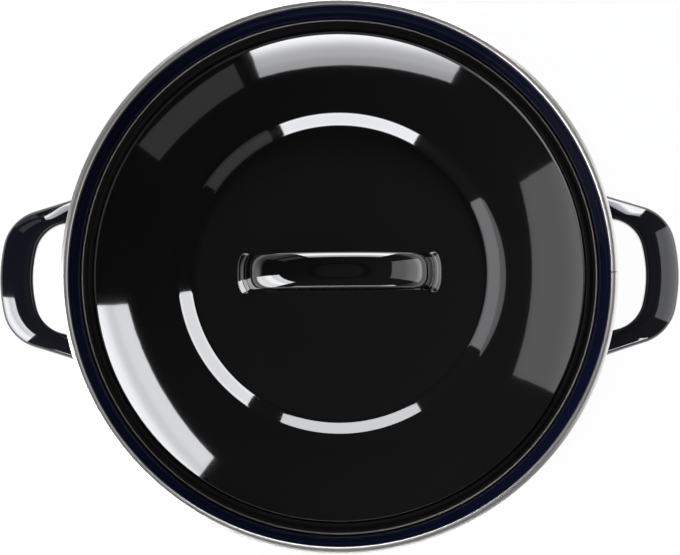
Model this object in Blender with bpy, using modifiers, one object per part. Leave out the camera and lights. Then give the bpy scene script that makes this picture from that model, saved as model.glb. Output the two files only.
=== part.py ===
"""Enamelled steel stew pot with a lid, built piece by piece at its real size, in metres.

The origin is the middle of the base, on the table. Z points up, and the two side handles lie along X.
The pot is a drawn shell whose mouth flares out to a collar. A rolled steel strip grips the collar's
edge, the lid's flange lies on the slope under the collar, and every handle is a pressed strap that
is open below.
"""

import math

import bmesh
import bpy
from mathutils import Vector

# Sheets and fits
POT_SHEET = 0.0018
LID_SHEET = 0.0015
STRAP_SHEET = 0.0020
TRIM_SHEET = 0.0006
GAP = 0.0003
SEAM_GAP = 0.0004

# Pot
RIM_RADIUS = 0.1450
RIM_HEIGHT = 0.1250
TRIM_OUTER_LEG = 0.0058
TRIM_INNER_LEG = 0.0050
COLLAR_BARE = 0.0035
COLLAR_FILLET = 0.0075
SEAT_WIDTH = 0.0110
SEAT_SLOPE = math.radians(46)
SHOULDER_FILLET = 0.0050
WALL_TAPER = 0.0023
BASE_FILLET = 0.0160

# Lid, with the slopes of its upper side
LID_OVERLAP = 0.0041
CROWN_RADIUS = 0.0755
CROWN_SLOPE = math.radians(4)
STEP_TOP_BEND = 0.0019
STEP_WIDTH = 0.0053
STEP_SLOPE = math.radians(34)
STEP_FOOT_BEND = 0.0012
STEP_FOOT_SLOPE = math.radians(18)
RUN_OUT = 0.0066
DOME_INNER_SLOPE = math.radians(11.5)
DOME_OUTER_SLOPE = math.radians(26)
FLANGE_WIDTH = 0.0068
FOOT_WIDTH = 0.0010
FOOT_BEND = 0.0016
FOOT_SLOPE = math.radians(62)
GUTTER_SLOPE = math.radians(14)
EDGE_ROUND = 0.0005

# Side handles
HANDLE_REACH = 0.0342
GRIP_WIDTH = 0.0178
GRIP_DROP = 0.0170
OUTER_GRIP_RADIUS = 0.0855
OUTER_CORNER_RADIUS = 0.0235
OUTER_SPREAD = 0.0404
INNER_GRIP_RADIUS = 0.0630
INNER_CORNER_RADIUS = 0.0182
INNER_SPREAD = 0.0291
LEG_SPLAY = math.radians(16)
ROOT_DROP = 0.0023
FALL_POWER = 1.3
LEG_POWER = 2.2
SIDE_LIP = 0.0015
ROOT_LIP = 0.0026
ROOT_FLARE = 0.0024
SIDE_CREST = 0.25
SIDE_INNER_FALL = 0.0004
SIDE_OUTER_FALL = 0.0049

# Lid handle
ARCH_LENGTH = 0.0980
ARCH_HEIGHT = 0.0265
ARCH_POWER = 2.2
STRAP_WIDTH = 0.0181
STRAP_CREST = 0.50
STRAP_FALL = 0.0028
STRAP_LIP = 0.0010
FOOT_FLARE = 0.0038
FOOT_FLARE_HEIGHT = 0.0045
FOOT_WIDENING = 0.0015

# Bend of a strap's edges
BEND_RADIUS = 0.0014
INNER_BEND = 0.0003

# Facets, and the largest share of a straight run that the fillet at its end may take
TURN_STEPS = 64
FILLET_STEPS = 3
BASE_FILLET_STEPS = 5
TRIM_CREST_STEPS = 6
LID_CROWN_STEPS = 4
LID_BEND_STEPS = 2
LID_DOME_STEPS = 5
LID_EDGE_STEPS = 2
STRAP_TOP_STEPS = 5
STRAP_BEND_STEPS = 2
ARCH_STEPS = 11
FLARE_STEPS = 4
GRIP_STEPS = 3
CORNER_STEPS = 6
LEG_STEPS = 6
FILLET_SHARE = 0.49
MERGE = 0.00001
SHARP_ANGLE = math.radians(40)
EDGE_ANGLE = math.radians(65)

# Finishes: colour, roughness and metallic value
POT_ENAMEL = ((0.010, 0.011, 0.024), 0.12, 0.0)
TRIM_STEEL = ((0.62, 0.60, 0.57), 0.22, 1.0)
SIDE_HANDLE_ENAMEL = ((0.011, 0.012, 0.020), 0.12, 0.0)
LID_ENAMEL = ((0.007, 0.007, 0.008), 0.10, 0.0)
LID_HANDLE_ENAMEL = ((0.006, 0.006, 0.007), 0.10, 0.0)

# Sizes that follow from those above
TRIM_WIDTH = 2 * TRIM_SHEET + 2 * GAP + POT_SHEET
EDGE_TOP = RIM_HEIGHT - TRIM_WIDTH / 2
COLLAR_RADIUS = RIM_RADIUS - TRIM_SHEET - GAP - POT_SHEET
COLLAR_BOTTOM = RIM_HEIGHT - TRIM_INNER_LEG - COLLAR_BARE
SHOULDER_RADIUS = COLLAR_RADIUS - SEAT_WIDTH
SHOULDER_HEIGHT = COLLAR_BOTTOM - SEAT_WIDTH * math.tan(SEAT_SLOPE)
BASE_RADIUS = SHOULDER_RADIUS - WALL_TAPER
LID_RADIUS = SHOULDER_RADIUS + LID_OVERLAP
GRIP_HEIGHT = RIM_HEIGHT - GRIP_DROP
ROOT_HEIGHT = SHOULDER_HEIGHT - ROOT_DROP


def clear_scene():
    for thing in list(bpy.data.objects):
        bpy.data.objects.remove(thing, do_unlink=True)


def new_collection(name):
    collection = bpy.data.collections.new(name)
    bpy.context.scene.collection.children.link(collection)
    return collection


def new_material(name, finish):
    colour, roughness, metallic = finish
    material = bpy.data.materials.new(name)
    material.use_nodes = True
    shader = material.node_tree.nodes["Principled BSDF"]
    shader.inputs["Base Color"].default_value = (*colour, 1.0)
    shader.inputs["Roughness"].default_value = roughness
    shader.inputs["Metallic"].default_value = metallic
    return material


def new_empty(name, collection, height):
    """A bare frame on the pot's axis, which the pieces of one body hang from."""
    empty = bpy.data.objects.new(name, None)
    empty.location.z = height
    collection.objects.link(empty)
    return empty


def new_object(name, mesh, material, collection, parent):
    mesh.materials.append(material)
    piece = bpy.data.objects.new(name, mesh)
    piece.parent = parent
    collection.objects.link(piece)
    return piece


def arc(centre, radius, start, end, steps):
    """Points on a circle about centre, from the start angle to the end angle."""
    angles = [start + (end - start) * step / steps for step in range(steps + 1)]
    return [
        (centre[0] + radius * math.cos(angle), centre[1] + radius * math.sin(angle))
        for angle in angles
    ]


def fillet(before, corner, after, radius, steps):
    """The arc that rounds a corner between two straight runs, at most as long as the runs allow."""
    corner = Vector(corner)
    back = Vector(before) - corner
    ahead = Vector(after) - corner
    half = back.angle(ahead) / 2
    reach = min(radius / math.tan(half), FILLET_SHARE * back.length, FILLET_SHARE * ahead.length)
    radius = reach * math.tan(half)
    middle = corner + (back.normalized() + ahead.normalized()).normalized() * (radius / math.sin(half))
    first = corner + back.normalized() * reach - middle
    last = corner + ahead.normalized() * reach - middle
    start = math.atan2(first.y, first.x)
    turn = math.remainder(math.atan2(last.y, last.x) - start, 2 * math.pi)
    return arc(middle, radius, start, start + turn, steps)


def rounded(corners):
    """An outline through corners, each (place, fillet radius, steps), with a fillet where it has a radius."""
    places = [place for place, _, _ in corners]
    outline = []
    for index, (place, radius, steps) in enumerate(corners):
        if radius:
            outline += fillet(places[index - 1], place, places[index + 1], radius, steps)
        else:
            outline.append(place)
    return outline


def run(start, end, steps):
    """Points on a straight run, without its first."""
    start = Vector(start)
    end = Vector(end)
    return [tuple(start.lerp(end, step / steps)) for step in range(1, steps + 1)]


def turned(name, profile, closed, material, collection, parent):
    """A profile of (radius, height) points, top to bottom down its outer side, turned round Z."""
    mesh = bpy.data.meshes.new(name)
    edges = [(index, index + 1) for index in range(len(profile) - 1)]
    if closed:
        edges.append((len(profile) - 1, 0))
    mesh.from_pydata([(radius, 0, height) for radius, height in profile], edges, [])
    piece = new_object(name, mesh, material, collection, parent)
    screw = piece.modifiers.new("Turn", "SCREW")
    screw.axis = "Z"
    screw.steps = TURN_STEPS
    screw.render_steps = TURN_STEPS
    screw.use_merge_vertices = True
    screw.merge_threshold = MERGE
    screw.use_smooth_shade = True
    return piece


def thicken(piece, thickness, side):
    """Gives a turned sheet its thickness on the side its faces look to (1), or on the other (-1)."""
    solidify = piece.modifiers.new("Sheet", "SOLIDIFY")
    solidify.thickness = thickness
    solidify.offset = side
    solidify.use_even_offset = True


def pressed(name, upper, lower, material, collection, parent):
    """A closed sheet between two grids of points, its upper side and its lower side.

    Each grid is a list of rows from one end of the strap to the other.
    """
    rows = len(upper)
    columns = len(upper[0])
    points = [point for grid in (upper, lower) for row in grid for point in row]
    lower_start = rows * columns

    def quad(start, row, column):
        corner = start + row * columns + column
        return (corner, corner + 1, corner + columns + 1, corner + columns)

    def wall(first, second):
        return (second, first, first + lower_start, second + lower_start)

    places = [(row, column) for row in range(rows - 1) for column in range(columns - 1)]
    faces = [quad(0, row, column) for row, column in places]
    faces += [tuple(reversed(quad(lower_start, row, column))) for row, column in places]
    last_row = (rows - 1) * columns
    for column in range(columns - 1):
        faces.append(wall(column, column + 1))
        faces.append(wall(last_row + column + 1, last_row + column))
    for row in range(rows - 1):
        here = row * columns
        faces.append(wall(here + columns, here))
        faces.append(wall(here + columns - 1, here + 2 * columns - 1))
    mesh = bpy.data.meshes.new(name)
    mesh.from_pydata(points, [], faces)
    mesh.shade_smooth()
    mesh.set_sharp_from_angle(angle=SHARP_ANGLE)
    return new_object(name, mesh, material, collection, parent)


def strap_section(width, crest, falls, lips, bend):
    """(across, up) points over a strap, from the end of one lip to the end of the other.

    The top is two parabolas that meet at the crest, which lies that share of the width across, and
    fall by falls[0] and falls[1] to the edges. There the strap bends down into lips of those lengths.
    """
    def height(share):
        if share < crest:
            return -falls[0] * ((crest - share) / crest) ** 2
        return -falls[1] * ((share - crest) / (1 - crest)) ** 2

    shares = [step / STRAP_TOP_STEPS for step in range(1, STRAP_TOP_STEPS)]
    top = [((share * width, height(share)), 0, 0) for share in shares]
    return rounded(
        [
            ((0, -falls[0] - lips[0]), 0, 0),
            ((0, -falls[0]), bend, STRAP_BEND_STEPS),
            *top,
            ((width, -falls[1]), bend, STRAP_BEND_STEPS),
            ((width, -falls[1] - lips[1]), 0, 0),
        ]
    )


def strap_sides(width, crest, falls, lips):
    """The upper and the lower side of a strap's section, a sheet apart, with their lips ending level.

    A lip's length is what stands below the sheet's lower side.
    """
    outer_lips = [lip + STRAP_SHEET for lip in lips]
    upper = strap_section(width, crest, falls, outer_lips, BEND_RADIUS)
    inside = strap_section(width - 2 * STRAP_SHEET, crest, falls, lips, INNER_BEND)
    lower = [(across + STRAP_SHEET, up - STRAP_SHEET) for across, up in inside]
    return upper, lower


def pot_profile():
    """The pot's inner side: collar, sloping seat, shoulder, wall and base."""
    return rounded(
        [
            ((COLLAR_RADIUS, EDGE_TOP), 0, 0),
            ((COLLAR_RADIUS, COLLAR_BOTTOM), COLLAR_FILLET, FILLET_STEPS),
            ((SHOULDER_RADIUS, SHOULDER_HEIGHT), SHOULDER_FILLET, FILLET_STEPS),
            ((BASE_RADIUS, POT_SHEET), BASE_FILLET, BASE_FILLET_STEPS),
            ((0, POT_SHEET), 0, 0),
        ]
    )


def wall_radius(height):
    """The outside of the pot's tapering wall at a height."""
    share = (height - POT_SHEET) / (SHOULDER_HEIGHT - POT_SHEET)
    return BASE_RADIUS + WALL_TAPER * share + POT_SHEET


def trim_profile():
    """A strip rolled over the pot's edge: a round crest, a long outer leg and a short inner leg."""
    middle = (RIM_RADIUS - TRIM_WIDTH / 2, EDGE_TOP)
    outer_radius = TRIM_WIDTH / 2
    inner_radius = outer_radius - TRIM_SHEET
    outer_bottom = RIM_HEIGHT - TRIM_OUTER_LEG
    inner_bottom = RIM_HEIGHT - TRIM_INNER_LEG
    crest = arc(middle, outer_radius, math.pi, 0, TRIM_CREST_STEPS)
    inside = arc(middle, inner_radius, 0, math.pi, TRIM_CREST_STEPS)
    return [
        *crest,
        (middle[0] + outer_radius, outer_bottom),
        (middle[0] + inner_radius, outer_bottom),
        *inside,
        (middle[0] - inner_radius, inner_bottom),
        (middle[0] - outer_radius, inner_bottom),
    ]


def lid_profile():
    """(radius, height) points on the lid's upper side, from the crown out to the flange's edge.

    The slope changes evenly between the stations, each (radius, slope, steps), and each height is the
    sum of the falls so far. The flange's outer edge is at height 0.
    """
    step_start = CROWN_RADIUS + STEP_TOP_BEND
    step_end = step_start + STEP_WIDTH
    step_foot = step_end + STEP_FOOT_BEND
    foot = LID_RADIUS - FLANGE_WIDTH
    stations = [
        (0, 0, 0),
        (CROWN_RADIUS, CROWN_SLOPE, LID_CROWN_STEPS),
        (step_start, STEP_SLOPE, LID_BEND_STEPS),
        (step_end, STEP_SLOPE, 1),
        (step_foot, STEP_FOOT_SLOPE, LID_BEND_STEPS),
        (step_foot + RUN_OUT, DOME_INNER_SLOPE, LID_BEND_STEPS),
        (foot - FOOT_WIDTH - FOOT_BEND, DOME_OUTER_SLOPE, LID_DOME_STEPS),
        (foot - FOOT_WIDTH, FOOT_SLOPE, LID_BEND_STEPS),
        (foot, FOOT_SLOPE, 1),
        (foot + FOOT_BEND, GUTTER_SLOPE, LID_BEND_STEPS),
        (foot + FLANGE_WIDTH / 2, 0, 1),
        (LID_RADIUS, -GUTTER_SLOPE, LID_BEND_STEPS),
    ]
    profile = [(0.0, 0.0)]
    for (start, slope, _), (end, next_slope, steps) in zip(stations, stations[1:]):
        for step in range(steps):
            middle_slope = slope + (next_slope - slope) * (step + 0.5) / steps
            radius = start + (end - start) * (step + 1) / steps
            fall = (radius - profile[-1][0]) * math.tan(middle_slope)
            profile.append((radius, profile[-1][1] - fall))
    bottom = profile[-1][1]
    return [(radius, height - bottom) for radius, height in profile]


def height_at(profile, radius):
    """The height of a turned sheet's side at a radius, read from its profile."""
    for (start, high), (end, low) in zip(profile, profile[1:]):
        if start != end and min(start, end) <= radius <= max(start, end):
            return high + (low - high) * (radius - start) / (end - start)
    return profile[-1][1]


def lid_place():
    """The height of the flange's upper outer edge when the lid lies on the pot's seat."""
    return height_at(pot_profile(), LID_RADIUS) + LID_SHEET + GAP / math.cos(SEAT_SLOPE)


def plan_outline(tip, grip_radius, corner_radius, spread):
    """Half of a side handle's outline in plan: from the tip along the grip, round the corner, to the wall.

    The grip is an arc that crosses X at the tip. The leg is a line that leans away from X by the splay and
    passes under the rim's edge at the spread. The corner is the arc tangent to both.
    """
    outward = Vector((math.cos(LEG_SPLAY), -math.sin(LEG_SPLAY)))
    inward = Vector((-math.sin(LEG_SPLAY), -math.cos(LEG_SPLAY)))
    grip_middle = Vector((tip - grip_radius, 0))
    rail = Vector((RIM_RADIUS, spread)) + inward * corner_radius - grip_middle
    half = rail.dot(outward)
    along = math.sqrt(half**2 - rail.length_squared + (grip_radius - corner_radius) ** 2) - half
    touch = rail + outward * along
    turn = math.atan2(touch.y, touch.x)
    grip = arc(grip_middle, grip_radius, 0, turn, GRIP_STEPS)
    bend = arc(grip_middle + touch, corner_radius, turn, math.pi / 2 - LEG_SPLAY, CORNER_STEPS)
    bend_end = Vector(bend[-1])
    half = bend_end.dot(outward)
    back = half - math.sqrt(half**2 - bend_end.length_squared + wall_radius(ROOT_HEIGHT) ** 2)
    return grip + bend[1:] + run(bend_end, bend_end - outward * back, LEG_STEPS)


def side_handle_sheets():
    """The upper and the lower side of the side handle at +X, as rows of points from root to root."""
    tip = RIM_RADIUS + HANDLE_REACH
    inner_tip = tip - GRIP_WIDTH
    outer = plan_outline(tip, OUTER_GRIP_RADIUS, OUTER_CORNER_RADIUS, OUTER_SPREAD)
    inner = plan_outline(inner_tip, INNER_GRIP_RADIUS, INNER_CORNER_RADIUS, INNER_SPREAD)
    outer = [(x, -y) for x, y in reversed(outer[1:])] + outer
    inner = [(x, -y) for x, y in reversed(inner[1:])] + inner
    grip_x = (tip + inner_tip) / 2
    root_x = (outer[-1][0] + inner[-1][0]) / 2
    upper = []
    lower = []
    for index, (out, inn) in enumerate(zip(outer, inner)):
        out = Vector((*out, 0))
        inn = Vector((*inn, 0))
        middle_x = (out.x + inn.x) / 2
        along = max(0, (grip_x - middle_x) / (grip_x - root_x))
        crest = GRIP_HEIGHT + (ROOT_HEIGHT - GRIP_HEIGHT) * along**FALL_POWER
        width = (out - inn).length
        lip = SIDE_LIP + (ROOT_LIP - SIDE_LIP) * along**LEG_POWER
        flare = ROOT_FLARE * along**LEG_POWER
        falls = (SIDE_INNER_FALL, SIDE_OUTER_FALL)
        lips = (lip + SIDE_OUTER_FALL - SIDE_INNER_FALL, lip)
        depth = SIDE_OUTER_FALL + STRAP_SHEET + lip
        at_root = index in (0, len(outer) - 1)
        for side, grid in zip(strap_sides(width, SIDE_CREST, falls, lips), (upper, lower)):
            row = []
            for across, up in side:
                spread = flare * (2 * across / width - 1) * min(1, -up / depth)
                point = inn + (out - inn) * ((across + spread) / width)
                point.z = crest + up
                if at_root:
                    point.x = math.sqrt((wall_radius(point.z) + GAP) ** 2 - point.y**2)
                row.append(point)
            grid.append(row)
    return upper, lower


def lid_handle_sheets(profile):
    """The upper and the lower side of the lid handle, as rows of points from foot to foot.

    Its line is a superellipse over the crown. Near the lid each foot flares and widens.
    """
    half_length = ARCH_LENGTH / 2
    crown_top = profile[0][1]
    foot_height = height_at(profile, half_length) + GAP - crown_top
    rise = ARCH_HEIGHT - foot_height
    last_angle = math.acos((FOOT_FLARE_HEIGHT / rise) ** (ARCH_POWER / 2))
    heights = []
    for step in range(ARCH_STEPS + 1):
        heights.append(rise * math.cos(last_angle * step / ARCH_STEPS) ** (2 / ARCH_POWER))
    for step in range(1, FLARE_STEPS + 1):
        heights.append(FOOT_FLARE_HEIGHT * (1 - step / FLARE_STEPS))
    falls = (STRAP_FALL, STRAP_FALL)
    lips = (STRAP_LIP, STRAP_LIP)
    upper = []
    lower = []
    for height in heights:
        share = height / rise
        x = half_length * (1 - share**ARCH_POWER) ** (1 / ARCH_POWER)
        run_out = (x / half_length) ** (ARCH_POWER - 1) * rise
        tilt = math.atan2(run_out, share ** (ARCH_POWER - 1) * half_length)
        outward = Vector((math.sin(tilt), 0, math.cos(tilt)))
        flare = max(0, 1 - height / FOOT_FLARE_HEIGHT) ** 2
        width = STRAP_WIDTH + 2 * FOOT_WIDENING * flare
        middle = Vector((x + FOOT_FLARE * flare, 0, foot_height + height))
        for side, grid in zip(strap_sides(width, STRAP_CREST, falls, lips), (upper, lower)):
            row = [
                middle + Vector((0, width / 2 - across, 0)) + outward * up
                for across, up in side
            ]
            if height == heights[-1]:
                for point in row:
                    point.z = height_at(profile, math.hypot(point.x, point.y)) + GAP - crown_top
            grid.append(row)
    return [mirrored_rows(grid) for grid in (upper, lower)]


def mirrored_rows(rows):
    """Rows that run on from their mirror image in the plane x = 0, whose middle row is shared."""
    mirrored = [[Vector((-point.x, point.y, point.z)) for point in row] for row in reversed(rows[1:])]
    return mirrored + rows


def cut_seam(trim, collection):
    """Opens the butt seam of the rolled strip, a slot across it at +X that runs past its edges."""
    slot = (TRIM_WIDTH + 2 * TRIM_SHEET, SEAM_GAP, TRIM_OUTER_LEG + 2 * TRIM_SHEET)
    block = bmesh.new()
    bmesh.ops.create_cube(block, size=1)
    bmesh.ops.scale(block, verts=block.verts, vec=slot)
    mesh = bpy.data.meshes.new("trim_seam_cutter")
    block.to_mesh(mesh)
    block.free()
    cutter = bpy.data.objects.new("trim_seam_cutter", mesh)
    cutter.location = (RIM_RADIUS - TRIM_WIDTH / 2, 0, RIM_HEIGHT - TRIM_OUTER_LEG / 2)
    cutter.hide_render = True
    cutter.display_type = "WIRE"
    collection.objects.link(cutter)
    cut = trim.modifiers.new("Seam", "BOOLEAN")
    cut.operation = "DIFFERENCE"
    cut.solver = "EXACT"
    cut.object = cutter


def build_pot(parts, cutters):
    """The pot's body with its trim and its two welded handles."""
    enamel = new_material("pot_enamel", POT_ENAMEL)
    steel = new_material("trim_steel", TRIM_STEEL)
    handle_enamel = new_material("side_handle_enamel", SIDE_HANDLE_ENAMEL)
    pot = new_empty("pot", parts, 0)

    body = turned("pot_body", pot_profile(), False, enamel, parts, pot)
    thicken(body, POT_SHEET, 1)

    trim = turned("rim_trim", trim_profile(), True, steel, parts, pot)
    cut_seam(trim, cutters)

    upper, lower = side_handle_sheets()
    right = pressed("side_handle_right", upper, lower, handle_enamel, parts, pot)
    left = bpy.data.objects.new("side_handle_left", right.data)
    left.rotation_euler.z = math.pi
    left.parent = pot
    parts.objects.link(left)


def build_lid(parts):
    """The lid and its handle, which hang from an empty on the axis the lid lifts along."""
    shell_enamel = new_material("lid_enamel", LID_ENAMEL)
    strap_enamel = new_material("lid_handle_enamel", LID_HANDLE_ENAMEL)
    lid = new_empty("lid", parts, lid_place())
    profile = lid_profile()

    shell = turned("lid_shell", profile, False, shell_enamel, parts, lid)
    thicken(shell, LID_SHEET, -1)
    edge = shell.modifiers.new("Edge", "BEVEL")
    edge.width = EDGE_ROUND
    edge.segments = LID_EDGE_STEPS
    edge.limit_method = "ANGLE"
    edge.angle_limit = EDGE_ANGLE

    upper, lower = lid_handle_sheets(profile)
    strap = pressed("lid_handle", upper, lower, strap_enamel, parts, lid)
    strap.location.z = profile[0][1]


def main():
    clear_scene()
    parts = new_collection("stew_pot")
    cutters = new_collection("stew_pot_cutters")
    build_pot(parts, cutters)
    build_lid(parts)


main()
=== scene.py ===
"""Looks of the enamelled steel stew pot, in metres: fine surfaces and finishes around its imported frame.

Every piece is a sheet-metal surface worked out on a grid of points: the pot, its trim and its lid are
sections turned round the axis, and the handles are pressed straps whose section is carried along a path.
"""

import math

import bmesh
import bpy
import numpy as np
from mathutils import Matrix, Vector


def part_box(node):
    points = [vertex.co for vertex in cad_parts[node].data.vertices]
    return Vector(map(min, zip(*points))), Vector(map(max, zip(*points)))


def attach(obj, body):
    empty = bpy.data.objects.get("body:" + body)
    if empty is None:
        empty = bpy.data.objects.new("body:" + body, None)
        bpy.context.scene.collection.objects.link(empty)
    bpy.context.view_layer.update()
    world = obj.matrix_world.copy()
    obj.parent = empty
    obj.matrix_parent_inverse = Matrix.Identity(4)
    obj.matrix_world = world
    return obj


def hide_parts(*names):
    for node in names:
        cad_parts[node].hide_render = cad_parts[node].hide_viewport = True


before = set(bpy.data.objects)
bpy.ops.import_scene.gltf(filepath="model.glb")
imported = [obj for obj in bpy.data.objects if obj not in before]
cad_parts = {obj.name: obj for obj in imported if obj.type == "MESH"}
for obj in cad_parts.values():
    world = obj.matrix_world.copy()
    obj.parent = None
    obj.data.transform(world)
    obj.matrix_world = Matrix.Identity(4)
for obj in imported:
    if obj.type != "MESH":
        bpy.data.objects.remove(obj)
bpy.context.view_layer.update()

# Places that the frame gives
RIM_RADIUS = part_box("rim_trim")[1].y
RIM_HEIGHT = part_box("rim_trim")[1].z
CROWN_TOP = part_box("lid_shell")[1].z
ARCH_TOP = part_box("lid_handle")[1].z
HANDLE_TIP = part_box("side_handle_right")[1].x

# Sheets
POT_SHEET = 0.0018
LID_SHEET = 0.0015
STRAP_SHEET = 0.0020
TRIM_SHEET = 0.0006
TRIM_PLAY = 0.0003
SEAM_GAP = 0.0004
WELD_DEPTH = 0.0004

# Pot
TRIM_OUTER_LEG = 0.0058
TRIM_INNER_LEG = 0.0050
TRIM_SHOULDER = 0.86
TRIM_INNER_SLOPE = math.radians(24)
TRIM_INNER_POWER = 0.60
TRIM_OUTER_SLOPE = math.radians(29)
TRIM_OUTER_POWER = 0.35
COLLAR_BARE = 0.0035
COLLAR_FILLET = 0.0075
SEAT_WIDTH = 0.0110
SEAT_SLOPE = math.radians(46)
SHOULDER_FILLET = 0.0050
WALL_TAPER = 0.0023
BASE_FILLET = 0.0160

# Lid, with the slopes of its upper side
LID_OVERLAP = 0.0041
CROWN_RADIUS = 0.0755
CROWN_SLOPE = math.radians(4)
STEP_TOP_BEND = 0.0019
STEP_WIDTH = 0.0053
STEP_SLOPE = math.radians(34)
STEP_FOOT_BEND = 0.0012
STEP_FOOT_SLOPE = math.radians(18)
RUN_OUT = 0.0066
DOME_INNER_SLOPE = math.radians(11.5)
DOME_OUTER_SLOPE = math.radians(26)
FLANGE_WIDTH = 0.0063
FOOT_WIDTH = 0.00035
FOOT_BEND = 0.0005
FOOT_SLOPE = math.radians(80)
GUTTER_START = 0.0011
GUTTER_END = 0.0024
GUTTER_SLOPE = math.radians(6)
BEAD_START = 0.0030
BEAD_END = 0.0038
BEAD_TOP = 0.0045
BEAD_SLOPE = math.radians(11)
EDGE_SLOPE = math.radians(10)

# Side handles
GRIP_WIDTH = 0.0178
GRIP_DROP = 0.0170
OUTER_GRIP_RADIUS = 0.0855
OUTER_CORNER_RADIUS = 0.0235
OUTER_SPREAD = 0.0404
INNER_GRIP_RADIUS = 0.0630
INNER_CORNER_RADIUS = 0.0182
INNER_SPREAD = 0.0291
LEG_SPLAY = math.radians(16)
ROOT_DROP = 0.0023
FALL_POWER = 1.3
LEG_POWER = 2.2
SIDE_LIP = 0.0021
ROOT_LIP = 0.0032
ROOT_FLARE = 0.0024
SIDE_CREST = 0.25
SIDE_INNER_FALL = 0.0004
SIDE_OUTER_FALL = 0.0043
SIDE_POWER = 1.6

# Lid handle
ARCH_LENGTH = 0.0980
ARCH_POWER = 2.2
STRAP_WIDTH = 0.0181
STRAP_CREST = 0.50
STRAP_FALL = 0.0024
STRAP_POWER = 3
STRAP_LIP = 0.0014
FOOT_FLARE = 0.0038
FOOT_FLARE_HEIGHT = 0.0045
FOOT_WIDENING = 0.0015

# Bends of the straps' edges
SIDE_BEND = 0.0022
ARCH_BEND = 0.0009
INNER_BEND = 0.0006

# Sizes that follow from those above
TRIM_WIDTH = 2 * TRIM_SHEET + 2 * TRIM_PLAY + POT_SHEET
TRIM_MIDDLE = RIM_RADIUS - TRIM_WIDTH / 2
EDGE_TOP = RIM_HEIGHT - TRIM_WIDTH / 2
COLLAR_RADIUS = RIM_RADIUS - TRIM_SHEET - TRIM_PLAY - POT_SHEET
COLLAR_BOTTOM = RIM_HEIGHT - TRIM_INNER_LEG - COLLAR_BARE
SHOULDER_RADIUS = COLLAR_RADIUS - SEAT_WIDTH
SHOULDER_HEIGHT = COLLAR_BOTTOM - SEAT_WIDTH * math.tan(SEAT_SLOPE)
BASE_RADIUS = SHOULDER_RADIUS - WALL_TAPER
LID_RADIUS = SHOULDER_RADIUS + LID_OVERLAP
GRIP_HEIGHT = RIM_HEIGHT - GRIP_DROP
ROOT_HEIGHT = SHOULDER_HEIGHT - ROOT_DROP

# Fineness of the surfaces
TURN_STEPS = 360
TRIM_TURN_STEPS = 480
FILLET_STEPS = 14
LONGEST_RUN = 0.004
CREST_STEPS = 24
CREST_CORNER_STEPS = 8
EDGE_STEPS = 14
TOP_STEPS = 22
BEND_STEPS = 8
LIP_STEPS = 4
LIP_END_STEPS = 10
GRIP_STEPS = 14
CORNER_STEPS = 26
LEG_STEPS = 30
ARCH_STEPS = 60
FLARE_STEPS = 16
MERGE_DISTANCE = 1e-7
SHARP_ANGLE = math.radians(35)

# Enamel: noises as (lumps a metre, detail), roughness at its clearest and haziest as shares of its mean
DRIFT_NOISE = (22, 3)
HAZE_NOISE = (60, 4)
SKIN_NOISE = (170, 1)
CLEAREST = 0.8
HAZIEST = 1.25
ENAMEL_IOR = 1.52
GLAZE_IOR = 1.5
GLAZE_ROUGHNESS = 0.02
PEEL = 0.000006
STRAP_PEEL = 0.000005
POT_DARK = (0.0028, 0.0033, 0.0110)
POT_LIGHT = (0.0036, 0.0042, 0.0150)
HANDLE_DARK = (0.0032, 0.0036, 0.0060)
HANDLE_LIGHT = (0.0042, 0.0046, 0.0078)
POT_ROUGHNESS = 0.07
LID_DARK = (0.0014, 0.0014, 0.0015)
LID_LIGHT = (0.0020, 0.0020, 0.0021)
LID_ROUGHNESS = 0.06
# A thin brown-grey line just inside the lid's edge, a painted highlight: its width, its fade and its colour
EDGE_HIGHLIGHT_WIDTH = 0.0010
EDGE_HIGHLIGHT_FADE = 0.0004
EDGE_HIGHLIGHT_COLOUR = (0.34, 0.31, 0.28)

# Steel
STEEL_DARK = (0.60, 0.585, 0.565)
STEEL_LIGHT = (0.68, 0.665, 0.645)
# Darker colour for the trim's inner leg, painted shade
STEEL_SHADED = (0.35, 0.34, 0.33)
STEEL_ROUGHNESS = (0.32, 0.40)
MARKS_SCALE = 6000
MARKS_DETAIL = 2
SHADE_FADE = 0.0001

# Photograph's view
VIEW_TILT = math.radians(3.4)
VIEW_ROLL = math.radians(0.45)
VIEW_DISTANCE = 1.45
VIEW_WIDTH = 0.3534
VIEW_AIM = (0.0003, -0.0018)
SENSOR = 36.0

# Floor
FLOOR_SIZE = 12
FLOOR_DROP = 0.0002
FLOOR_COLOUR = (0.8, 0.8, 0.8)
FLOOR_ROUGHNESS = 0.9
FLOOR_GLOW = 1.04
FLOOR_GLOW_SHARE = 0.85

# Upright light panels round the table: the way each faces, the azimuths of its sides, its distance from
# the axis, the zenith angles of its top and bottom seen from the lid, and its brightness from bottom to top
PANELS = {
    "back": (
        94, 61.5, 110, 1.3, 45.4, 87,
        (
            (0, 2.2), (0.12, 4.2), (0.25, 6.7), (0.5, 8.6), (0.575, 8.8), (0.62, 7.8), (0.67, 5.8),
            (0.715, 4.6), (0.77, 3.9), (0.825, 3.8), (0.875, 3.3), (1, 2.9),
        ),
    ),
    "left_front": (
        206, 183, 232.5, 1.3, 40.5, 87,
        (
            (0, 3.5), (0.15, 5.8), (0.3, 6.3), (0.56, 8.6), (0.62, 8.2), (0.67, 6.9), (0.715, 5.9),
            (0.76, 5.8), (0.80, 6.4), (1, 6.5),
        ),
    ),
    "front": (274, 246.5, 302, 1.3, 63.5, 71.5, ((0, 5.7), (1, 5.8))),
    "right": (
        -5, -26, 31, 1.3, 33.8, 86,
        ((0, 1.35), (0.2, 1.33), (0.45, 1.05), (0.55, 0.86), (0.91, 0.83), (1, 0.72)),
    ),
    "left_back_upper": (129, 114.5, 143.5, 1.6, 44.5, 56.5, ((0, 0.25), (1, 0.25))),
    "left_back_lower": (129, 114.5, 143, 1.6, 62, 78, ((0, 0.25), (1, 0.25))),
}
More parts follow.
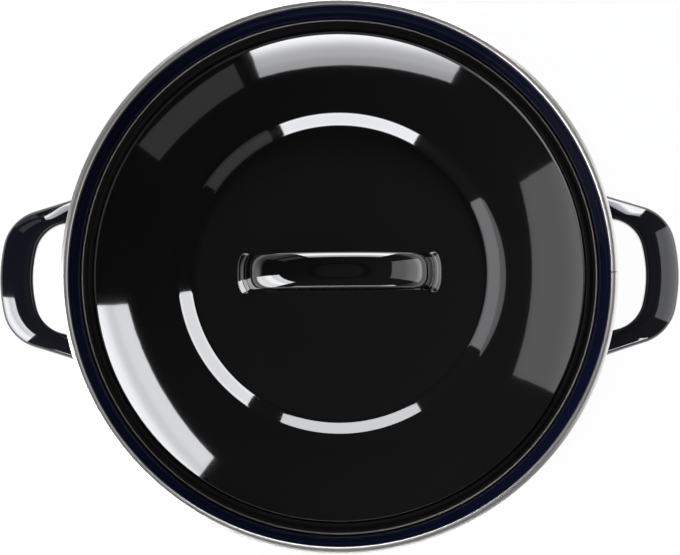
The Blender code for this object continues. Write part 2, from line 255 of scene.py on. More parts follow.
# A lamp of this power on a square metre is as bright as its nodes say
PANEL_POWER = 4
PANEL_TINT = (0.965, 0.972, 1.0)
# The spot on the lid from which the panels' zenith angles are seen
SPOT_RADIUS = 0.109
SPOT_HEIGHT = 0.128
# Brightness of the room near the horizon at each azimuth in degrees, and the heights between which it fades
HORIZON = (
    (-180, 1.2), (-155, 1.25), (-135, 1.25), (-115, 0.9), (-90, 0.25), (-45, 0.35), (-25, 0.85), (0, 1.3),
    (25, 1.3), (45, 0.5), (65, 1.0), (95, 1.3), (115, 1.0), (135, 0.4), (155, 0.4), (172, 0.8), (180, 1.2),
)
HORIZON_PEAK = max(brightness for _, brightness in HORIZON)
HORIZON_FADE = (0.12, 0.28)
# Brightness of the ceiling by the cosine of the zenith angle, with a darker ring round its middle, and how
# much of it there is from its dull side to its bright side
CEILING = ((0, 0.045), (0.94, 0.045), (0.955, 0.022), (0.970, 0.022), (0.98, 0.065), (1, 0.065))
CEILING_SIDES = (-0.6, 0.6)
CEILING_DRIFT = (0.3, 1.7)
BRIGHT_SIDE = math.radians(-30)
ROOM_TINT = (1, 0.985, 0.96)


def closed_mesh(name, points, faces):
    """A mesh with its doubles merged and its faces turned outwards, shaded smooth up to SHARP_ANGLE."""
    mesh = bpy.data.meshes.new(name)
    mesh.from_pydata(points.tolist(), [], faces)
    shell = bmesh.new()
    shell.from_mesh(mesh)
    bmesh.ops.remove_doubles(shell, verts=shell.verts, dist=MERGE_DISTANCE)
    bmesh.ops.recalc_face_normals(shell, faces=shell.faces)
    shell.to_mesh(mesh)
    shell.free()
    mesh.shade_smooth()
    mesh.set_sharp_from_angle(angle=SHARP_ANGLE)
    piece = bpy.data.objects.new(name, mesh)
    bpy.context.scene.collection.objects.link(piece)
    return piece


def grid_faces(rows, columns, wrap_rows, wrap_columns):
    """Quads between neighbours of a rows by columns grid, joined up at its ends where it wraps."""
    row = np.arange(rows if wrap_rows else rows - 1)[:, None]
    column = np.arange(columns if wrap_columns else columns - 1)[None, :]
    next_row = (row + 1) % rows
    next_column = (column + 1) % columns
    corners = (
        row * columns + column,
        row * columns + next_column,
        next_row * columns + next_column,
        next_row * columns + column,
    )
    corners = [np.broadcast_to(corner, (row.size, column.size)) for corner in corners]
    return np.stack(corners, -1).reshape(-1, 4)


def turned_surface(name, section):
    """A section of (radius, height) points turned round Z: a point at angle a is (r cos a, r sin a, z).

    The section starts and ends on the axis, where each of its rings is a single point.
    """
    angles = np.linspace(0, 2 * np.pi, TURN_STEPS, endpoint=False)
    radius = section[1:-1, 0, None]
    height = np.broadcast_to(section[1:-1, 1, None], (len(section) - 2, TURN_STEPS))
    rings = np.stack([radius * np.cos(angles), radius * np.sin(angles), height], -1).reshape(-1, 3)
    poles = np.array([[0, 0, section[0, 1]], [0, 0, section[-1, 1]]])
    points = np.concatenate([rings, poles])
    quads = grid_faces(len(section) - 2, TURN_STEPS, False, True)
    here = np.arange(TURN_STEPS)
    ahead = (here + 1) % TURN_STEPS
    last_ring = len(rings) - TURN_STEPS
    first_fan = np.stack([np.full(TURN_STEPS, len(rings)), ahead, here], -1)
    last_fan = np.stack([np.full(TURN_STEPS, len(rings) + 1), last_ring + here, last_ring + ahead], -1)
    return closed_mesh(name, points, quads.tolist() + first_fan.tolist() + last_fan.tolist())


def swept_surface(name, sections):
    """Closed loops of points, one for each row of the array, joined along a path and capped at its ends."""
    rows, columns, _ = sections.shape
    quads = grid_faces(rows, columns, False, True)
    caps = [list(range(columns)), list(range((rows - 1) * columns, rows * columns))]
    return closed_mesh(name, sections.reshape(-1, 3), quads.tolist() + caps)


def finished(piece, material, body, node):
    """Gives a piece its material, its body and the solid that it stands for."""
    piece.data.materials.append(material)
    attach(piece, body)
    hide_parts(node)


def rounded_line(corners):
    """A line through corners, each (across, up, fillet). A fillet is the arc tangent to both its runs."""
    places = np.array([corner[:2] for corner in corners])
    pieces = []
    for index, (_, _, radius) in enumerate(corners):
        place = places[index]
        if not radius:
            pieces.append(place[None])
            continue
        back = places[index - 1] - place
        ahead = places[index + 1] - place
        back /= np.linalg.norm(back)
        ahead /= np.linalg.norm(ahead)
        half = math.acos(float(back @ ahead)) / 2
        inward = (back + ahead) / np.linalg.norm(back + ahead)
        middle = place + inward * radius / math.sin(half)
        start = place + back * radius / math.tan(half) - middle
        side = place + ahead * radius / math.tan(half) - middle
        turn = np.pi - 2 * half
        square = (side - start * math.cos(turn)) / math.sin(turn)
        angles = np.linspace(0, turn, FILLET_STEPS)[:, None]
        pieces.append(middle + start * np.cos(angles) + square * np.sin(angles))
    return np.concatenate(pieces)


def with_shorter_runs(line):
    """The same line with points added on its straight runs, so that none is longer than LONGEST_RUN."""
    steps = np.diff(line, axis=0)
    counts = np.ceil(np.linalg.norm(steps, axis=1) / LONGEST_RUN).astype(int).clip(1)
    segment = np.repeat(np.arange(len(steps)), counts)
    first = np.repeat(np.cumsum(counts) - counts, counts)
    share = (np.arange(len(segment)) - first) / np.repeat(counts, counts)
    return np.concatenate([line[segment] + steps[segment] * share[:, None], line[-1:]])


def beside(line, distance):
    """A line moved sideways: each point goes that distance along the normal on the right of its path.

    The first point stays as far from the axis as it was.
    """
    along = np.gradient(line, axis=0)
    along /= np.linalg.norm(along, axis=1)[:, None]
    moved = line + distance * np.stack([along[:, 1], -along[:, 0]], -1)
    moved[0, 0] = line[0, 0]
    return moved


def wall_radius(height):
    """The radius of the wall's outside, which grows evenly with height from the base to the shoulder."""
    share = (height - POT_SHEET) / (SHOULDER_HEIGHT - POT_SHEET)
    return BASE_RADIUS + WALL_TAPER * share + POT_SHEET


def pot_section():
    """Base, wall, shoulder, seat and collar on the inside, then the same a sheet further out."""
    inside = rounded_line(
        [
            (0, POT_SHEET, 0),
            (BASE_RADIUS, POT_SHEET, BASE_FILLET),
            (SHOULDER_RADIUS, SHOULDER_HEIGHT, SHOULDER_FILLET),
            (COLLAR_RADIUS, COLLAR_BOTTOM, COLLAR_FILLET),
            (COLLAR_RADIUS, EDGE_TOP, 0),
        ]
    )
    inside = with_shorter_runs(inside)
    outside = beside(inside, POT_SHEET)
    return np.concatenate([inside, outside[::-1]])


def trim_crest(steepest, power):
    """Half of the strip's crest, from its top to its leg, as (share of its half width, fall) points.

    Its slope at a share s of the shoulder's place is steepest * s^power, and an arc ends it upright.
    """
    half = TRIM_WIDTH / 2
    share = np.linspace(0, TRIM_SHOULDER, CREST_STEPS)
    tangent = np.tan(steepest * (share / TRIM_SHOULDER) ** power)
    fall = np.concatenate([[0], np.cumsum((tangent[1:] + tangent[:-1]) / 2 * np.diff(share * half))])
    radius = (1 - TRIM_SHOULDER) * half / (1 - math.sin(steepest))
    slope = np.linspace(steepest, np.pi / 2, CREST_CORNER_STEPS)[1:]
    corner_share = TRIM_SHOULDER + radius * (np.sin(slope) - math.sin(steepest)) / half
    corner_fall = fall[-1] + radius * (math.cos(steepest) - np.cos(slope))
    return np.concatenate([share, corner_share]), np.concatenate([fall, corner_fall])


def trim_sections():
    """The rolled strip's section at each angle round the rim, from one side of its seam to the other."""
    half = TRIM_WIDTH / 2
    inner_half = half - TRIM_SHEET
    inner_share, inner_fall = trim_crest(TRIM_INNER_SLOPE, TRIM_INNER_POWER)
    outer_share, outer_fall = trim_crest(TRIM_OUTER_SLOPE, TRIM_OUTER_POWER)
    share = np.concatenate([-inner_share[:0:-1], outer_share])
    fall = np.concatenate([inner_fall[:0:-1], outer_fall])
    crest = np.stack([share * half, RIM_HEIGHT - fall], -1)
    end_fall = np.where(share < 0, fall[0], fall[-1])
    under_fall = TRIM_SHEET + (end_fall - TRIM_SHEET) * share**2
    under = np.stack([share * inner_half, RIM_HEIGHT - under_fall], -1)
    outer_legs = [[half, RIM_HEIGHT - TRIM_OUTER_LEG], [inner_half, RIM_HEIGHT - TRIM_OUTER_LEG]]
    inner_legs = [[-inner_half, RIM_HEIGHT - TRIM_INNER_LEG], [-half, RIM_HEIGHT - TRIM_INNER_LEG]]
    section = np.concatenate([crest, outer_legs, under[::-1], inner_legs])
    opening = SEAM_GAP / 2 / RIM_RADIUS
    angles = np.linspace(opening, 2 * np.pi - opening, TRIM_TURN_STEPS)[:, None]
    radius = TRIM_MIDDLE + section[None, :, 0]
    height = np.broadcast_to(section[None, :, 1], (TRIM_TURN_STEPS, len(section)))
    return np.stack([radius * np.cos(angles), radius * np.sin(angles), height], -1)


def lid_top():
    """(radius, height) points on the lid's upper side, from the axis to its rounded edge.

    The slope changes evenly between stations (radius, slope, points), and the height at a radius is the
    crown's less the sum of all falls up to there, each the slope's tangent times its run.
    """
    step_start = CROWN_RADIUS + STEP_TOP_BEND
    step_end = step_start + STEP_WIDTH
    step_foot = step_end + STEP_FOOT_BEND
    foot = LID_RADIUS - FLANGE_WIDTH
    stations = [
        (0, 0, 20),
        (CROWN_RADIUS, CROWN_SLOPE, 8),
        (step_start, STEP_SLOPE, 5),
        (step_end, STEP_SLOPE, 6),
        (step_foot, STEP_FOOT_SLOPE, 8),
        (step_foot + RUN_OUT, DOME_INNER_SLOPE, 26),
        (foot - FOOT_WIDTH - FOOT_BEND, DOME_OUTER_SLOPE, 12),
        (foot - FOOT_WIDTH, FOOT_SLOPE, 2),
        (foot, FOOT_SLOPE, 14),
        (foot + GUTTER_START, GUTTER_SLOPE, 6),
        (foot + GUTTER_END, -GUTTER_SLOPE, 4),
        (foot + BEAD_START, -BEAD_SLOPE, 4),
        (foot + BEAD_END, -BEAD_SLOPE, 8),
        (foot + BEAD_TOP, 0, 8),
        (LID_RADIUS, EDGE_SLOPE, 1),
    ]
    radii = np.array([station[0] for station in stations], float)
    slopes = np.array([station[1] for station in stations], float)
    pieces = [
        np.linspace(start, end, count, endpoint=False)
        for start, end, (_, _, count) in zip(radii, radii[1:], stations)
    ]
    edge = LID_RADIUS - LID_SHEET / 2 * (1 - math.sin(EDGE_SLOPE))
    radius = np.concatenate([*pieces, [edge]])
    radius = radius[radius <= edge]
    tangent = np.tan(np.interp(radius, radii, slopes))
    fall = np.concatenate([[0], np.cumsum((tangent[1:] + tangent[:-1]) / 2 * np.diff(radius))])
    return np.stack([radius, CROWN_TOP - fall], -1)


def lid_height(radius):
    """The lid's upper side at a radius."""
    top = lid_top()
    return np.interp(radius, top[:, 0], top[:, 1])


def lid_section():
    """The lid's upper side, a half circle round its edge, and its lower side back to the axis."""
    top = lid_top()
    below = beside(top, LID_SHEET)
    middle = (top[-1] + below[-1]) / 2
    start = top[-1] - middle
    outward = np.array([start[1], -start[0]])
    angles = np.linspace(0, np.pi, EDGE_STEPS)[1:-1, None]
    edge = middle + start * np.cos(angles) + outward * np.sin(angles)
    return np.concatenate([top, edge, below[::-1]])


def bent(start, corner, end, steps):
    """Points on the parabola from start to end that is tangent to both lines through the corner."""
    share = np.linspace(0, 1, steps)
    return tuple(
        a * (1 - share) ** 2 + 2 * b * share * (1 - share) + c * share**2
        for a, b, c in zip(start, corner, end)
    )


def strap_fall(across, span, crest, inner_fall, outer_fall, power):
    """How far a strap's top lies below its crest: a power of the share of the way to the nearer edge."""
    inner_share = np.clip(1 - across / (crest * span), 0, None)
    outer_share = np.clip((across - crest * span) / ((1 - crest) * span), 0, None)
    return inner_fall * inner_share**power + outer_fall * outer_share**power


def strap_side(span, crest, inner_fall, outer_fall, power, bend, lip_end):
    """One side of a strap, from the end of one lip to the end of the other, its crest at height 0.

    Near each edge the top runs into the upright lip along a bend, and the lips end level at lip_end.
    """
    edge = np.zeros_like(span)
    inner_run = crest * span
    outer_run = span - inner_run
    near = -strap_fall(bend, span, crest, inner_fall, outer_fall, power)
    far = -strap_fall(span - bend, span, crest, inner_fall, outer_fall, power)
    near_corner = near + near * power * bend / (inner_run - bend)
    far_corner = far + far * power * bend / (outer_run - bend)
    near_lip = np.maximum(near_corner - bend, lip_end)
    far_lip = np.maximum(far_corner - bend, lip_end)
    rise = bent((edge, near_lip), (edge, near_corner), (edge + bend, near), BEND_STEPS)
    descent = bent((span - bend, far), (span, far_corner), (span, far_lip), BEND_STEPS)
    across = bend + np.linspace(0, 1, TOP_STEPS)[1:-1] * (span - 2 * bend)
    over = (across, -strap_fall(across, span, crest, inner_fall, outer_fall, power))
    share = np.linspace(0, 1, LIP_STEPS)
    first_lip = (edge + 0 * share, lip_end + (near_lip - lip_end) * share)
    last_lip = (span + 0 * share, far_lip + (lip_end - far_lip) * share)
    parts = (first_lip, rise, over, descent, last_lip)
    return tuple(np.concatenate([part[axis] for part in parts], 1) for axis in (0, 1))


def strap_loops(width, crest, inner_fall, outer_fall, power, depth, bend):
    """Closed sections of a pressed strap as (across, up) arrays, one row for each width.

    The sheet's two sides are a sheet apart, and its lips end level, at the depth, in half circles.
    """
    rows = (width, inner_fall, outer_fall, depth)
    width, inner_fall, outer_fall, depth = (value[:, None] for value in rows)
    half = STRAP_SHEET / 2
    outer = strap_side(width, crest, inner_fall, outer_fall, power, bend, half - depth)
    inside = width - 2 * STRAP_SHEET
    lip_end = half - depth + STRAP_SHEET
    inner = strap_side(inside, crest, inner_fall, outer_fall, power, INNER_BEND, lip_end)
    angles = np.linspace(0, np.pi, LIP_END_STEPS)[1:-1]
    far_end = (width - half + half * np.cos(angles), half - depth - half * np.sin(angles))
    near_end = (0 * width + half + half * np.cos(angles), far_end[1])
    inner = (inner[0][:, ::-1] + STRAP_SHEET, inner[1][:, ::-1] - STRAP_SHEET)
    parts = (outer, far_end, inner, near_end)
    return tuple(np.concatenate([part[axis] for part in parts], 1) for axis in (0, 1))


def arc(middle, radius, first, last, steps):
    """Points on a circle, from one angle to another."""
    angles = np.linspace(first, last, steps)
    return middle + radius * np.stack([np.cos(angles), np.sin(angles)], -1)


def plan_outline(tip, grip_radius, corner_radius, spread):
    """Half of a side handle's outline in plan: along the grip, round the corner, down the leg to the wall.

    The grip is an arc that crosses X at the tip. The leg is a line that leans away from X by the splay and
    passes under the rim's edge at the spread. The corner is the arc tangent to both.
    """
    outward = np.array([math.cos(LEG_SPLAY), -math.sin(LEG_SPLAY)])
    inward = np.array([-math.sin(LEG_SPLAY), -math.cos(LEG_SPLAY)])
    grip_middle = np.array([tip - grip_radius, 0])
    rail = np.array([RIM_RADIUS, spread]) + inward * corner_radius - grip_middle
    lead = rail @ outward
    run = math.sqrt(lead**2 - rail @ rail + (grip_radius - corner_radius) ** 2) - lead
    touch = rail + outward * run
    turn = math.atan2(touch[1], touch[0])
    grip = arc(grip_middle, grip_radius, 0, turn, GRIP_STEPS)
    bend = arc(grip_middle + touch, corner_radius, turn, np.pi / 2 - LEG_SPLAY, CORNER_STEPS)
    lead = bend[-1] @ outward
    run = lead - math.sqrt(lead**2 - bend[-1] @ bend[-1] + wall_radius(ROOT_HEIGHT) ** 2)
    leg = np.linspace(bend[-1], bend[-1] - outward * run, LEG_STEPS)
    return np.concatenate([grip, bend[1:], leg[1:]])


def side_handle_sections():
    """The right side handle's sections from root to root.

    Each lies between a point of the inner outline and one of the outer outline. The strap's crest falls
    from the grip to the root with a power of how far in the row lies, and its lips and flare grow likewise.
    Its outer side falls in proportion to its width, while its lips end on one level.
    """
    inner_tip = HANDLE_TIP - GRIP_WIDTH
    outer = plan_outline(HANDLE_TIP, OUTER_GRIP_RADIUS, OUTER_CORNER_RADIUS, OUTER_SPREAD)
    inner = plan_outline(inner_tip, INNER_GRIP_RADIUS, INNER_CORNER_RADIUS, INNER_SPREAD)
    mirror = np.array([1, -1])
    outer = np.concatenate([(outer[1:] * mirror)[::-1], outer])
    inner = np.concatenate([(inner[1:] * mirror)[::-1], inner])
    middle = (outer[:, 0] + inner[:, 0]) / 2
    grip_x = (HANDLE_TIP + inner_tip) / 2
    along = np.clip((grip_x - middle) / (grip_x - middle[-1]), 0, 1)
    crest = GRIP_HEIGHT + (ROOT_HEIGHT - GRIP_HEIGHT) * along**FALL_POWER
    width = np.linalg.norm(outer - inner, axis=1)
    lip = SIDE_LIP + (ROOT_LIP - SIDE_LIP) * along**LEG_POWER
    flare = ROOT_FLARE * along**LEG_POWER
    outer_fall = SIDE_OUTER_FALL * width / GRIP_WIDTH
    inner_fall = np.full(len(width), SIDE_INNER_FALL)
    depth = SIDE_OUTER_FALL + STRAP_SHEET + lip
    across, up = strap_loops(width, SIDE_CREST, inner_fall, outer_fall, SIDE_POWER, depth, SIDE_BEND)
    width = width[:, None]
    spread = flare[:, None] * (2 * across / width - 1) * np.minimum(1, -up / depth[:, None])
    share = ((across + spread) / width)[..., None]
    plan = inner[:, None] + (outer - inner)[:, None] * share
    height = crest[:, None] + up
    for end in (0, -1):
        wall = wall_radius(height[end]) - WELD_DEPTH
        plan[end, :, 0] = np.sqrt(wall**2 - plan[end, :, 1] ** 2)
    return np.concatenate([plan, height[..., None]], -1)


def lid_handle_sections():
    """The lid handle's sections from foot to foot.

    Its line is the superellipse (x / half length)^p + (height / rise)^p = 1 above the crown, and each foot
    flares out and widens with the square of how deep it lies in the flare's height.
    """
    half_length = ARCH_LENGTH / 2
    foot_height = lid_height(half_length)
    rise = ARCH_TOP - foot_height
    last_angle = math.acos((FOOT_FLARE_HEIGHT / rise) ** (ARCH_POWER / 2))
    height = rise * np.cos(np.linspace(0, last_angle, ARCH_STEPS)) ** (2 / ARCH_POWER)
    foot = FOOT_FLARE_HEIGHT * (1 - np.linspace(0, 1, FLARE_STEPS)[1:])
    height = np.concatenate([height, foot])
    share = height / rise
    x = half_length * (1 - share**ARCH_POWER) ** (1 / ARCH_POWER)
    tilt = np.arctan2((x / half_length) ** (ARCH_POWER - 1) * rise, share ** (ARCH_POWER - 1) * half_length)
    flare = np.clip(1 - height / FOOT_FLARE_HEIGHT, 0, None) ** 2
    width = STRAP_WIDTH + 2 * FOOT_WIDENING * flare
    fall = np.full(len(width), STRAP_FALL)
    depth = fall + STRAP_SHEET + STRAP_LIP
    across, up = strap_loops(width, STRAP_CREST, fall, fall, STRAP_POWER, depth, ARCH_BEND)
    out = x + FOOT_FLARE * flare
    sections = np.stack(
        [
            out[:, None] + np.sin(tilt)[:, None] * up,
            width[:, None] / 2 - across,
            foot_height + height[:, None] + np.cos(tilt)[:, None] * up,
        ],
        -1,
    )
    radius = np.hypot(sections[-1, :, 0], sections[-1, :, 1])
    sections[-1, :, 2] = lid_height(radius) - WELD_DEPTH
    mirrored = sections[1:][::-1] * np.array([-1, 1, 1])
    return np.concatenate([mirrored, sections])


def filled(tree, node, inputs):
    """Gives a node its inputs by name or number, each a value or another node's output."""
    for socket, value in inputs.items():
        if isinstance(value, bpy.types.NodeSocket):
            tree.links.new(value, node.inputs[socket])
        else:
            node.inputs[socket].default_value = value
    return node


def added(tree, kind, inputs, **settings):
    """A new node of a kind, with its settings made and its inputs filled."""
    node = tree.nodes.new(kind)
    for name, value in settings.items():
        setattr(node, name, value)
    return filled(tree, node, inputs)


def calculated(tree, operation, *values):
    """The result of an operation on numbers or outputs."""
    return added(tree, "ShaderNodeMath", dict(enumerate(values)), operation=operation).outputs["Value"]


def vector_node(tree, operation, *values):
    """A node that works on vectors or outputs."""
    return added(tree, "ShaderNodeVectorMath", dict(enumerate(values)), operation=operation)


def ranged(tree, value, before, after):
    """A value brought evenly from the range before to the range after, and held at its ends."""
    names = ("From Min", "From Max", "To Min", "To Max")
    inputs = {"Value": value, **dict(zip(names, (*before, *after)))}
    return added(tree, "ShaderNodeMapRange", inputs).outputs["Result"]


def mixed_colour(tree, share, first, second):
    """The first colour where the share is 0 and the second where it is 1, each a colour or an output."""
    if not isinstance(first, bpy.types.NodeSocket):
        first = (*first, 1)
    if not isinstance(second, bpy.types.NodeSocket):
        second = (*second, 1)
    inputs = {"Factor": share, "A": first, "B": second}
    return added(tree, "ShaderNodeMix", inputs, data_type="RGBA").outputs["Result"]


def mixed_shader(tree, share, first, second):
    """The first shader where the share is 0 and the second where it is 1."""
    return added(tree, "ShaderNodeMixShader", {"Fac": share, 1: first, 2: second}).outputs["Shader"]


def new_material(name):
    """An empty node material, with its tree and its shader."""
    material = bpy.data.materials.new(name)
    material.use_nodes = True
    return material, material.node_tree, material.node_tree.nodes["Principled BSDF"]


def object_place(tree):
    """Where a point lies in its own piece."""
    return added(tree, "ShaderNodeTexCoord", {}).outputs["Object"]


def object_radius(tree):
    """How far a point lies from the Z axis of its own piece."""
    flat = vector_node(tree, "MULTIPLY", object_place(tree), (1, 1, 0)).outputs["Vector"]
    return vector_node(tree, "LENGTH", flat).outputs["Value"]


def object_noise(tree, scale, detail):
    """Noise on the piece's own coordinates, with about that many lumps a metre."""
    inputs = {"Vector": object_place(tree), "Scale": scale, "Detail": detail}
    return added(tree, "ShaderNodeTexNoise", inputs).outputs["Fac"]


def enamel(name, dark, light, roughness, peel):
    """Fired glass enamel: near-black colour with a slow drift, a hard gloss and a faint orange peel."""
    material, tree, shader = new_material(name)
    haze = object_noise(tree, *HAZE_NOISE)
    skin = object_noise(tree, *SKIN_NOISE)
    bump = added(tree, "ShaderNodeBump", {"Height": skin, "Strength": 1.0, "Distance": peel})
    inputs = {
        "Base Color": mixed_colour(tree, object_noise(tree, *DRIFT_NOISE), dark, light),
        "Roughness": ranged(tree, haze, (0, 1), (roughness * CLEAREST, roughness * HAZIEST)),
        "IOR": ENAMEL_IOR,
        "Coat Weight": 1.0,
        "Coat Roughness": GLAZE_ROUGHNESS,
        "Coat IOR": GLAZE_IOR,
        "Normal": bump.outputs["Normal"],
        "Coat Normal": bump.outputs["Normal"],
    }
    filled(tree, shader, inputs)
    return material


def pot_enamel():
    """The pot's very dark navy."""
    return enamel("pot_enamel", POT_DARK, POT_LIGHT, POT_ROUGHNESS, PEEL)


def side_handle_enamel():
    """The same navy on the side handles, a little greyer where the enamel is thin."""
    return enamel("side_handle_enamel", HANDLE_DARK, HANDLE_LIGHT, POT_ROUGHNESS, PEEL)


def lid_enamel():
    """The lid's black, with a thin brown-grey line round its rounded edge: a painted highlight."""
    material = enamel("lid_enamel", LID_DARK, LID_LIGHT, LID_ROUGHNESS, PEEL)
    tree = material.node_tree
    shader = tree.nodes["Principled BSDF"]
    black = shader.inputs["Base Color"].links[0].from_socket
    # The painted highlight: a brown-grey band just inside the lid's edge
    highlight_band = (LID_RADIUS - EDGE_HIGHLIGHT_WIDTH, LID_RADIUS - EDGE_HIGHLIGHT_WIDTH + EDGE_HIGHLIGHT_FADE)
    highlight_share = ranged(tree, object_radius(tree), highlight_band, (0, 1))
    filled(tree, shader, {"Base Color": mixed_colour(tree, highlight_share, black, EDGE_HIGHLIGHT_COLOUR)})
    return material


def lid_handle_enamel():
    """The same black on the lid's strap."""
    return enamel("lid_handle_enamel", LID_DARK, LID_LIGHT, LID_ROUGHNESS, STRAP_PEEL)


def trim_steel():
    """Satin stainless steel with fine rolling marks that run round the rim.

    The marks are noise on (radius, height) alone, so they are the same at every angle. The inner leg is
    given a darker colour than the rest, as painted shade.
    """
    material, tree, shader = new_material("trim_steel")
    radius = object_radius(tree)
    parts = added(tree, "ShaderNodeSeparateXYZ", {"Vector": object_place(tree)})
    section = added(tree, "ShaderNodeCombineXYZ", {"X": radius, "Y": parts.outputs["Z"]})
    inputs = {"Vector": section.outputs["Vector"], "Scale": MARKS_SCALE, "Detail": MARKS_DETAIL}
    marks = added(tree, "ShaderNodeTexNoise", inputs, noise_dimensions="2D").outputs["Fac"]
    # Painted shade: the inner leg takes the darker colour
    inner_face = RIM_RADIUS - TRIM_WIDTH
    unshaded = ranged(tree, radius, (inner_face, inner_face + SHADE_FADE), (0, 1))
    tone = mixed_colour(tree, marks, STEEL_DARK, STEEL_LIGHT)
    inputs = {
        "Metallic": 1.0,
        "Base Color": mixed_colour(tree, unshaded, STEEL_SHADED, tone),
        "Roughness": ranged(tree, marks, (0, 1), STEEL_ROUGHNESS),
    }
    filled(tree, shader, inputs)
    return material


def build_pot():
    """The pot's body, its rolled trim and its two side handles."""
    body = turned_surface("pot_body_enamelled", pot_section())
    finished(body, pot_enamel(), "pot", "pot_body")
    trim = swept_surface("rim_trim_rolled", trim_sections())
    finished(trim, trim_steel(), "pot", "rim_trim")
    handle_finish = side_handle_enamel()
    right = side_handle_sections()
    half_turn = np.array([-1, -1, 1])
    for side, sections in (("right", right), ("left", right * half_turn)):
        handle = swept_surface(f"side_handle_{side}_strap", sections)
        finished(handle, handle_finish, "pot", f"side_handle_{side}")


def build_lid():
    """The lid and its welded strap."""
    shell = turned_surface("lid_shell_pressed", lid_section())
    finished(shell, lid_enamel(), "lid", "lid_shell")
    strap = swept_surface("lid_handle_strap", lid_handle_sections())
    finished(strap, lid_handle_enamel(), "lid", "lid_handle")


def brightness_curve(tree, value, stops):
    """Brightness that passes smoothly through stops, each (value, brightness)."""
    node = added(tree, "ShaderNodeFloatCurve", {"Value": value})
    curve = node.mapping.curves[0]
    node.mapping.use_clip = False
    peak = max(brightness for _, brightness in stops)
    curve.points[0].location = (stops[0][0], stops[0][1] / peak)
    curve.points[1].location = (stops[-1][0], stops[-1][1] / peak)
    for place, brightness in stops[1:-1]:
        curve.points.new(place, brightness / peak)
    node.mapping.update()
    return calculated(tree, "MULTIPLY", node.outputs["Value"], peak)


def light_panel(name, facing, first, last, distance, top, bottom, stops):
    """An upright rectangle of light whose brightness changes from its bottom edge to its top edge."""
    facing, first, last, top, bottom = (math.radians(angle) for angle in (facing, first, last, top, bottom))
    low = (distance - SPOT_RADIUS) / math.tan(bottom)
    high = (distance - SPOT_RADIUS) / math.tan(top)
    start = distance * math.tan(first - facing)
    end = distance * math.tan(last - facing)
    away = Vector((math.cos(facing), math.sin(facing), 0))
    sideways = Vector((-math.sin(facing), math.cos(facing), 0))
    up = Vector((0, 0, 1))
    light = bpy.data.lights.new(f"panel_{name}", "AREA")
    light.shape = "RECTANGLE"
    light.size = end - start
    light.size_y = high - low
    light.energy = PANEL_POWER * light.size * light.size_y
    light.color = PANEL_TINT
    light.use_nodes = True
    tree = light.node_tree
    place = added(tree, "ShaderNodeNewGeometry", {}).outputs["Parametric"]
    parts = added(tree, "ShaderNodeSeparateXYZ", {"Vector": place})
    strength = brightness_curve(tree, parts.outputs["Y"], stops)
    filled(tree, tree.nodes["Emission"], {"Strength": strength})
    lamp = bpy.data.objects.new(f"panel_{name}", light)
    lamp.matrix_world = Matrix.Translation(
        away * distance + sideways * (start + end) / 2 + up * (SPOT_HEIGHT + (low + high) / 2)
    ) @ Matrix((-sideways, up, away)).transposed().to_4x4()
    lamp.visible_camera = False
    bpy.context.scene.collection.objects.link(lamp)


def brightness_ramp(tree, value, stops):
    """Brightness that changes evenly between stops, each (value, brightness)."""
    ramp = added(tree, "ShaderNodeValToRGB", {"Fac": value})
    elements = ramp.color_ramp.elements
    for _ in stops[2:]:
        elements.new(0.5)
    for element, (place, brightness) in zip(elements, stops):
        element.position = place
        element.color = (brightness, brightness, brightness, 1)
    return ramp.outputs["Color"]


def surroundings():
    """A room that is dark overhead and pale near the horizon, and white where the camera looks past it.

    Its brightness is the horizon's by azimuth, faded out with height, and the ceiling's by height, which
    is stronger towards the bright side.
    """
    world = bpy.data.worlds.new("studio")
    bpy.context.scene.world = world
    world.use_nodes = True
    tree = world.node_tree
    way = added(tree, "ShaderNodeTexCoord", {}).outputs["Generated"]
    parts = added(tree, "ShaderNodeSeparateXYZ", {"Vector": way}).outputs
    turn = calculated(tree, "ARCTAN2", parts["Y"], parts["X"])
    share = ranged(tree, turn, (-math.pi, math.pi), (0, 1))
    stops = [((azimuth + 180) / 360, brightness / HORIZON_PEAK) for azimuth, brightness in HORIZON]
    low = ranged(tree, parts["Z"], HORIZON_FADE, (HORIZON_PEAK, 0.0))
    horizon = calculated(tree, "MULTIPLY", brightness_ramp(tree, share, stops), low)
    bright_way = (math.cos(BRIGHT_SIDE), math.sin(BRIGHT_SIDE), 0)
    side = vector_node(tree, "DOT_PRODUCT", way, bright_way).outputs["Value"]
    drift = ranged(tree, side, CEILING_SIDES, CEILING_DRIFT)
    ceiling = brightness_ramp(tree, parts["Z"], CEILING)
    level = calculated(tree, "MULTIPLY_ADD", ceiling, drift, horizon)
    room = filled(tree, tree.nodes["Background"], {"Color": (*ROOM_TINT, 1), "Strength": level})
    white = added(tree, "ShaderNodeBackground", {"Color": (1, 1, 1, 1), "Strength": 1.0})
    looked_at = added(tree, "ShaderNodeLightPath", {}).outputs["Is Camera Ray"]
    seen = mixed_shader(tree, looked_at, room.outputs["Background"], white.outputs["Background"])
    filled(tree, tree.nodes["World Output"], {"Surface": seen})


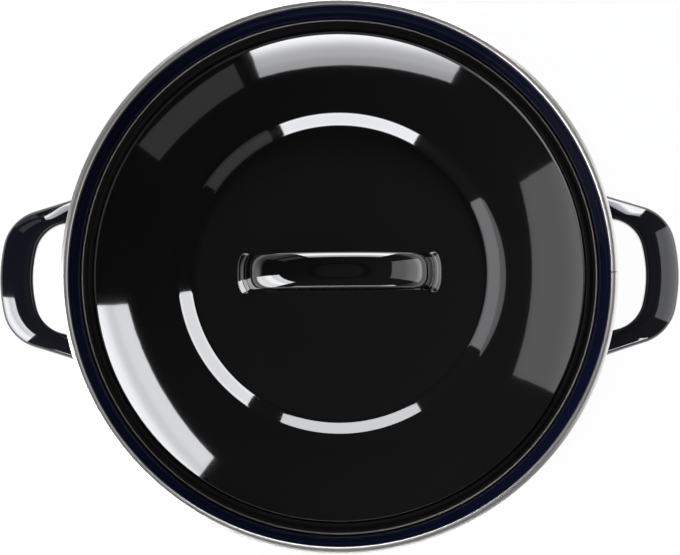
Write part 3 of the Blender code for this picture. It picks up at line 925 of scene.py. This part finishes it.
def studio_floor():
    """A pale floor: mostly its own white where it is looked at or reflected, with the pot's shadow kept.

    Seen from below it is clear, so the pot's underside can be looked at.
    """
    bpy.ops.mesh.primitive_plane_add(size=FLOOR_SIZE, location=(0, 0, -FLOOR_DROP))
    floor = bpy.context.object
    floor.name = "studio_floor"
    material, tree, shader = new_material("studio_floor")
    filled(tree, shader, {"Base Color": (*FLOOR_COLOUR, 1), "Roughness": FLOOR_ROUGHNESS})
    glow = added(tree, "ShaderNodeEmission", {"Strength": FLOOR_GLOW})
    path = added(tree, "ShaderNodeLightPath", {}).outputs
    seen = calculated(tree, "MAXIMUM", path["Is Camera Ray"], path["Is Glossy Ray"])
    seen = calculated(tree, "MAXIMUM", seen, path["Is Transmission Ray"])
    share = calculated(tree, "MULTIPLY", seen, FLOOR_GLOW_SHARE)
    white = mixed_shader(tree, share, shader.outputs["BSDF"], glow.outputs["Emission"])
    below = added(tree, "ShaderNodeNewGeometry", {}).outputs["Backfacing"]
    clear = added(tree, "ShaderNodeBsdfTransparent", {}).outputs["BSDF"]
    whole = mixed_shader(tree, below, white, clear)
    filled(tree, tree.nodes["Material Output"], {"Surface": whole})
    floor.data.materials.append(material)


def photo_camera():
    """A camera almost straight above the pot, tilted a little towards its front and rolled a little."""
    camera = bpy.data.cameras.new("camera")
    camera.sensor_width = SENSOR
    camera.lens = SENSOR * VIEW_DISTANCE / VIEW_WIDTH
    holder = bpy.data.objects.new("camera", camera)
    back = Vector((0, -math.sin(VIEW_TILT), math.cos(VIEW_TILT)))
    holder.location = Vector((*VIEW_AIM, RIM_HEIGHT)) + back * VIEW_DISTANCE
    turn = Matrix.Rotation(VIEW_TILT, 3, "X") @ Matrix.Rotation(-VIEW_ROLL, 3, "Z")
    holder.rotation_euler = turn.to_euler()
    bpy.context.scene.collection.objects.link(holder)
    bpy.context.scene.camera = holder


build_pot()
build_lid()
studio_floor()
surroundings()
for panel, settings in PANELS.items():
    light_panel(panel, *settings)
photo_camera()
bpy.context.scene.view_settings.view_transform = "Standard"
